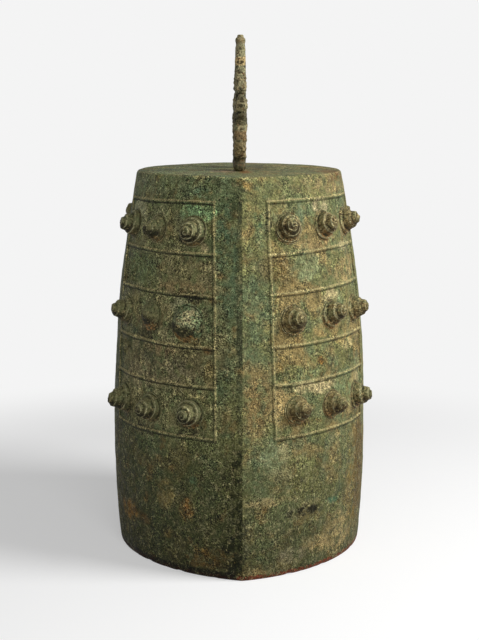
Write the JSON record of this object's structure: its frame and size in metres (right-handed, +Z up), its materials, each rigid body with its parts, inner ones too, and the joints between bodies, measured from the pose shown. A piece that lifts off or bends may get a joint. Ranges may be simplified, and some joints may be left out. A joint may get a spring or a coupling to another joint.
{
  "type": "bronze bell",
  "caption": "Flat-mouthed cast bronze bell with ridged sides, panels of spiral bosses and a beast-shaped hanging loop, struck from outside.",
  "frame": {"origin": "centre of the flat mouth, in the plane of the rim that the bell stands on", "axes": "+Z up through the hanging loop, Y from ridge to ridge along the long way of the mouth, +X out of a broad face"},
  "size_m": [0.4874, 0.63, 0.967],
  "materials": {
    "bell_patina": "cast bronze with a matt green and brown patina",
    "loop_patina": "cast bronze under a rough tan and dark brown crust",
    "boss_patina": "cast bronze, dark green-brown with rusty hollows"
  },
  "bodies": {
    "root": {"bell_body": "bell_patina", "suspension_loop": "loop_patina", "boss_front_left_1_1": "boss_patina", "boss_front_left_1_2": "boss_patina", "boss_front_left_1_3": "boss_patina", "boss_front_left_2_1": "boss_patina", "boss_front_left_2_2": "boss_patina", "boss_front_left_2_3": "boss_patina", "boss_front_left_3_1": "boss_patina", "boss_front_left_3_2": "boss_patina", "boss_front_left_3_3": "boss_patina", "boss_front_right_1_1": "boss_patina", "boss_front_right_1_2": "boss_patina", "boss_front_right_1_3": "boss_patina", "boss_front_right_2_1": "boss_patina", "boss_front_right_2_2": "boss_patina", "boss_front_right_2_3": "boss_patina", "boss_front_right_3_1": "boss_patina", "boss_front_right_3_2": "boss_patina", "boss_front_right_3_3": "boss_patina", "boss_back_left_1_1": "boss_patina", "boss_back_left_1_2": "boss_patina", "boss_back_left_1_3": "boss_patina", "boss_back_left_2_1": "boss_patina", "boss_back_left_2_2": "boss_patina", "boss_back_left_2_3": "boss_patina", "boss_back_left_3_1": "boss_patina", "boss_back_left_3_2": "boss_patina", "boss_back_left_3_3": "boss_patina", "boss_back_right_1_1": "boss_patina", "boss_back_right_1_2": "boss_patina", "boss_back_right_1_3": "boss_patina", "boss_back_right_2_1": "boss_patina", "boss_back_right_2_2": "boss_patina", "boss_back_right_2_3": "boss_patina", "boss_back_right_3_1": "boss_patina", "boss_back_right_3_2": "boss_patina", "boss_back_right_3_3": "boss_patina"}
  },
  "joints": []
}
